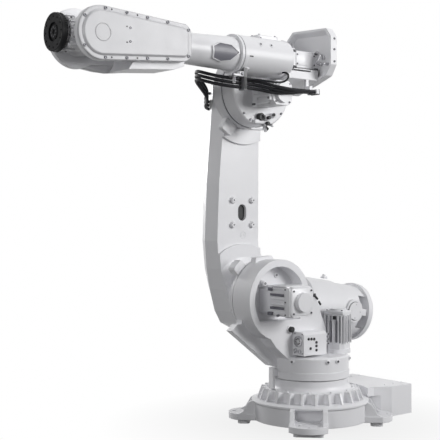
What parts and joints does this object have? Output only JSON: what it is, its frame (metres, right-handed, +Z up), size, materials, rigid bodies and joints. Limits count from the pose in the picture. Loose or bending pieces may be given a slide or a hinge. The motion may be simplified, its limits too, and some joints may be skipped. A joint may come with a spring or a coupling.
{
  "type": "industrial robot arm",
  "caption": "Floor-standing jointed robot arm with a ribbed round base, turret, spring balancer, heavy lower arm, slim tube arm and a black turning tool disc.",
  "frame": {"origin": "on the vertical turning axis, in the plane of the foot pads' undersides", "axes": "+Z up along axis 1, +X forward to the tool flange, +Y to the robot's left"},
  "size_m": [2.465, 0.9502, 2.4447],
  "materials": {
    "paint_light_grey": "semi-gloss light grey paint",
    "black_parts": "black",
    "steel": "ground steel",
    "black_hose": "black hose",
    "grey_cover": "dark grey"
  },
  "bodies": {
    "base": {"base_casting": "paint_light_grey", "connection_box": "paint_light_grey"},
    "turret": {"turret_casting": "paint_light_grey", "balancer_bracket": "paint_light_grey", "pivot_pin": "steel", "motor_axis_1": "paint_light_grey", "motor_axis_2": "paint_light_grey", "connector_box": "paint_light_grey", "stop_plate": "paint_light_grey"},
    "balancer": {"balancer_barrel": "paint_light_grey", "balancer_end": "paint_light_grey", "balancer_caps": "paint_light_grey"},
    "balancer_rod": {"balancer_rod": "steel"},
    "lower_arm": {"lower_arm": "paint_light_grey", "balancer_pin": "steel", "hose_entry": "paint_light_grey", "lower_stop": "paint_light_grey", "upper_stop": "paint_light_grey"},
    "arm_house": {"arm_house": "paint_light_grey", "motor_axis_3": "paint_light_grey", "motor_axis_4": "paint_light_grey", "rear_cover": "paint_light_grey", "hose_run_1": "black_hose", "hose_run_2": "black_hose", "hose_run_3": "black_hose", "thin_cable": "black_hose", "hose_loop_1": "black_hose", "hose_loop_2": "black_hose", "hose_loop_3": "black_hose", "hose_clamp_front": "paint_light_grey", "hose_clamp_rear": "paint_light_grey"},
    "arm_tube": {"arm_tube": "paint_light_grey", "wrist_cover_left": "paint_light_grey", "wrist_cover_right": "paint_light_grey", "tube_hatch": "grey_cover"},
    "wrist_tilt": {"tilt_housing": "paint_light_grey"},
    "tool_disc": {"turning_disc": "black_parts"}
  },
  "joints": [
    {"name": "axis_1", "type": "hinge", "parent": "base", "child": "turret", "pos_m": [0, 0, 0.29], "axis": [0, 0, 1], "range_deg": [-170, 170]},
    {"name": "axis_2", "type": "hinge", "parent": "turret", "child": "lower_arm", "pos_m": [0.3, -0.1, 0.78], "axis": [0, 1, 0], "range_deg": [-65, 85]},
    {"name": "axis_3", "type": "hinge", "parent": "lower_arm", "child": "arm_house", "pos_m": [0.3, -0.22, 2.06], "axis": [0, -1, 0], "range_deg": [-70, 180], "deforming": ["hose_loop_1", "hose_loop_2", "hose_loop_3"]},
    {"name": "axis_4", "type": "hinge", "parent": "arm_house", "child": "arm_tube", "pos_m": [0.62, 0, 2.23], "axis": [1, 0, 0], "range_deg": [-300, 300]},
    {"name": "axis_5", "type": "hinge", "parent": "arm_tube", "child": "wrist_tilt", "pos_m": [1.615, 0, 2.23], "axis": [0, 1, 0], "range_deg": [-130, 130]},
    {"name": "axis_6", "type": "hinge", "parent": "wrist_tilt", "child": "tool_disc", "pos_m": [1.784, 0, 2.23], "axis": [1, 0, 0], "range_deg": [-360, 360]},
    {"name": "balancer_pivot", "type": "hinge", "parent": "turret", "child": "balancer", "pos_m": [-0.416, -0.2, 0.665], "axis": [0, 1, 0], "range_deg": [-19, 15]},
    {"name": "balancer_rod_pin", "type": "hinge", "parent": "lower_arm", "child": "balancer_rod", "pos_m": [0.10253, -0.2, 0.74828], "axis": [0, 1, 0], "range_deg": [-104, 80]}
  ],
  "couplings": [
    {"joint": "balancer_pivot", "follows": "axis_2", "ratio": -0.22},
    {"joint": "balancer_rod_pin", "follows": "axis_2", "ratio": -1.22}
  ]
}
